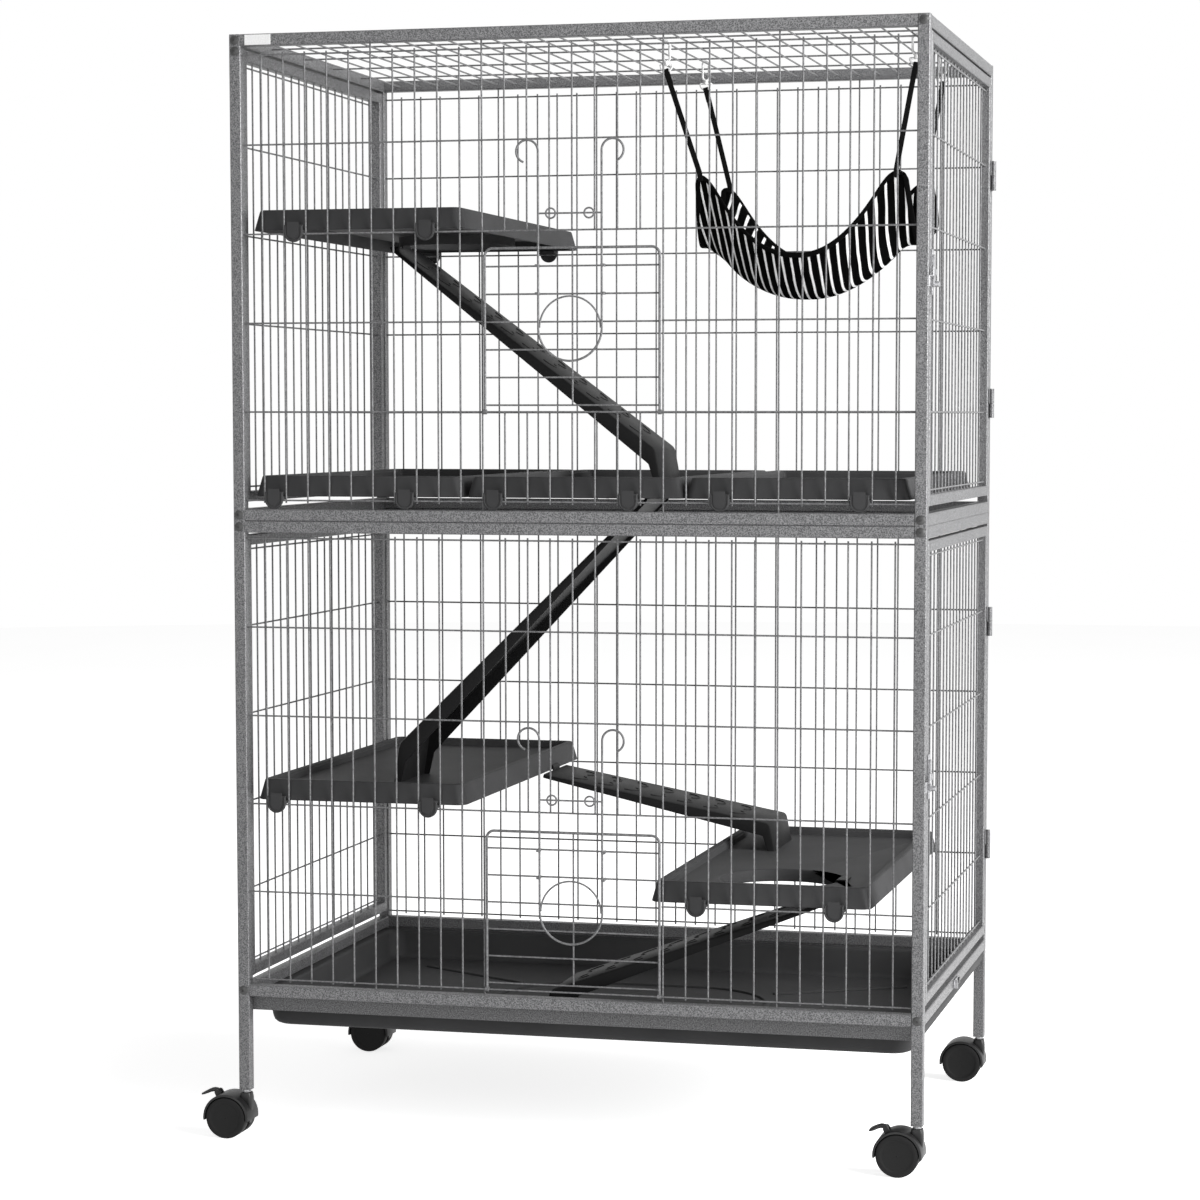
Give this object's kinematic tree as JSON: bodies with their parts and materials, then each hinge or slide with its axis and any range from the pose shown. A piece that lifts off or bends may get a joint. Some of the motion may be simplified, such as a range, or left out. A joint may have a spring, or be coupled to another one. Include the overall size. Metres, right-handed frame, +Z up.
{
  "type": "ferret cage",
  "caption": "Tall two-tier wire cage on casters with hook-on trays, ramps, a hammock, a pull-out pan, side doors and small front doors.",
  "frame": {"origin": "on the floor, at the centre of the four posts", "axes": "+X to the right along the width, +Y from front to back, +Z up"},
  "size_m": [0.8549, 0.5494, 1.2677],
  "materials": {
    "painted_steel": "hammered silver-grey powder coat",
    "zinc": "bright zinc plate",
    "tray_plastic": "satin moulded plastic",
    "ramp_plastic": "satin moulded plastic",
    "plug_plastic": "matt moulded plastic",
    "hammock_cloth": "plain-woven cloth with pale stripes",
    "webbing": "woven webbing",
    "clip_plastic": "glossy moulded plastic",
    "plate": "blank satin plate",
    "caster_plastic": "satin moulded plastic with a bright steel stem",
    "wheel_plastic": "satin moulded plastic",
    "brake_plastic": "glossy moulded plastic"
  },
  "bodies": {
    "frame": {"post_front_left": "painted_steel", "post_front_right": "painted_steel", "post_back_left": "painted_steel", "post_back_right": "painted_steel", "top_rails": "painted_steel", "middle_rails": "painted_steel", "bottom_rails": "painted_steel", "pan_runners": "painted_steel", "leg_plugs": "plug_plastic", "top_grid": "painted_steel", "front_grid_upper": "painted_steel", "front_grid_lower": "painted_steel", "back_grids": "painted_steel", "left_frames": "painted_steel", "left_grids": "painted_steel", "hinge_post_leaves": "painted_steel", "latch_keepers": "zinc", "tray_upper_left": "tray_plastic", "tray_floor_left": "tray_plastic", "tray_floor_middle": "tray_plastic", "tray_floor_right": "tray_plastic", "tray_lower_left": "tray_plastic", "tray_lower_right": "tray_plastic", "tray_hooks": "tray_plastic", "ramp_upper": "ramp_plastic", "ramp_middle": "ramp_plastic", "ramp_bridge": "ramp_plastic", "ramp_lower": "ramp_plastic", "hammock": "hammock_cloth", "hammock_straps": "webbing", "hammock_clips": "clip_plastic", "frame_bolts": "zinc", "label_plate": "plate"},
    "side_door_upper": {"side_door_frame_upper": "painted_steel", "side_door_grid_upper": "painted_steel", "hinge_door_leaves_upper": "painted_steel", "latch_plate_upper": "zinc"},
    "latch_upper": {"latch_lever_upper": "zinc"},
    "door_upper": {"front_door_upper": "painted_steel"},
    "slider_upper": {"front_slider_upper": "zinc"},
    "side_door_lower": {"side_door_frame_lower": "painted_steel", "side_door_grid_lower": "painted_steel", "hinge_door_leaves_lower": "painted_steel", "latch_plate_lower": "zinc"},
    "latch_lower": {"latch_lever_lower": "zinc"},
    "door_lower": {"front_door_lower": "painted_steel"},
    "slider_lower": {"front_slider_lower": "zinc"},
    "pan": {"pull_out_pan": "tray_plastic"},
    "clasp": {"pan_clasp": "zinc"},
    "swivel_front_left": {"caster_front_left": "caster_plastic"},
    "wheel_front_left": {"wheels_front_left": "wheel_plastic"},
    "swivel_front_right": {"caster_front_right": "caster_plastic"},
    "wheel_front_right": {"wheels_front_right": "wheel_plastic"},
    "swivel_back_left": {"caster_back_left": "caster_plastic"},
    "wheel_back_left": {"wheels_back_left": "wheel_plastic"},
    "swivel_back_right": {"caster_back_right": "caster_plastic"},
    "wheel_back_right": {"wheels_back_right": "wheel_plastic"},
    "toe_front_left": {"brake_front_left": "brake_plastic"},
    "toe_front_right": {"brake_front_right": "brake_plastic"}
  },
  "joints": [
    {"name": "side_door_upper_hinge", "type": "hinge", "parent": "frame", "child": "side_door_upper", "pos_m": [0.4034, 0.24825, 0.99244], "axis": [0, 0, 1], "range_deg": [0, 170]},
    {"name": "latch_upper_turn", "type": "hinge", "parent": "side_door_upper", "child": "latch_upper", "pos_m": [0.402, -0.241, 0.99244], "axis": [1, 0, 0], "range_deg": [0, 90]},
    {"name": "front_door_upper_hinge", "type": "hinge", "parent": "frame", "child": "door_upper", "pos_m": [0, -0.25727, 0.84136], "axis": [1, 0, 0], "range_deg": [0, 150]},
    {"name": "slider_upper_slide", "type": "slide", "parent": "door_upper", "child": "slider_upper", "axis": [0, 0, 1], "range_m": [-0.1, 0]},
    {"name": "side_door_lower_hinge", "type": "hinge", "parent": "frame", "child": "side_door_lower", "pos_m": [0.4034, 0.24825, 0.4418], "axis": [0, 0, 1], "range_deg": [0, 170]},
    {"name": "latch_lower_turn", "type": "hinge", "parent": "side_door_lower", "child": "latch_lower", "pos_m": [0.402, -0.241, 0.4418], "axis": [1, 0, 0], "range_deg": [0, 90]},
    {"name": "front_door_lower_hinge", "type": "hinge", "parent": "frame", "child": "door_lower", "pos_m": [0, -0.25727, 0.1865], "axis": [1, 0, 0], "range_deg": [0, 115]},
    {"name": "slider_lower_slide", "type": "slide", "parent": "door_lower", "child": "slider_lower", "axis": [0, 0, 1], "range_m": [-0.1, 0]},
    {"name": "pan_slide", "type": "slide", "parent": "frame", "child": "pan", "axis": [1, 0, 0], "range_m": [0, 0.3]},
    {"name": "pan_clasp_turn", "type": "hinge", "parent": "frame", "child": "clasp", "pos_m": [0.401, 0, 0.17325], "axis": [1, 0, 0], "range_deg": [0, 90]},
    {"name": "swivel_front_left_turn", "type": "hinge", "parent": "frame", "child": "swivel_front_left", "pos_m": [-0.39325, -0.25625, 0.056], "axis": [0, 0, 1], "continuous": true},
    {"name": "wheel_front_left_spin", "type": "hinge", "parent": "swivel_front_left", "child": "wheel_front_left", "pos_m": [-0.41325, -0.25625, 0.024], "axis": [0, 1, 0], "continuous": true},
    {"name": "toe_front_left_press", "type": "hinge", "parent": "swivel_front_left", "child": "toe_front_left", "pos_m": [-0.42785, -0.25625, 0.05146], "axis": [0, 1, 0], "range_deg": [-10, 0]},
    {"name": "swivel_front_right_turn", "type": "hinge", "parent": "frame", "child": "swivel_front_right", "pos_m": [0.39325, -0.25625, 0.056], "axis": [0, 0, 1], "continuous": true},
    {"name": "wheel_front_right_spin", "type": "hinge", "parent": "swivel_front_right", "child": "wheel_front_right", "pos_m": [0.37325, -0.25625, 0.024], "axis": [0, 1, 0], "continuous": true},
    {"name": "toe_front_right_press", "type": "hinge", "parent": "swivel_front_right", "child": "toe_front_right", "pos_m": [0.35865, -0.25625, 0.05146], "axis": [0, 1, 0], "range_deg": [-10, 0]},
    {"name": "swivel_back_left_turn", "type": "hinge", "parent": "frame", "child": "swivel_back_left", "pos_m": [-0.39325, 0.25625, 0.056], "axis": [0, 0, 1], "continuous": true},
    {"name": "wheel_back_left_spin", "type": "hinge", "parent": "swivel_back_left", "child": "wheel_back_left", "pos_m": [-0.41325, 0.25625, 0.024], "axis": [0, 1, 0], "continuous": true},
    {"name": "swivel_back_right_turn", "type": "hinge", "parent": "frame", "child": "swivel_back_right", "pos_m": [0.39325, 0.25625, 0.056], "axis": [0, 0, 1], "continuous": true},
    {"name": "wheel_back_right_spin", "type": "hinge", "parent": "swivel_back_right", "child": "wheel_back_right", "pos_m": [0.37325, 0.25625, 0.024], "axis": [0, 1, 0], "continuous": true}
  ]
}
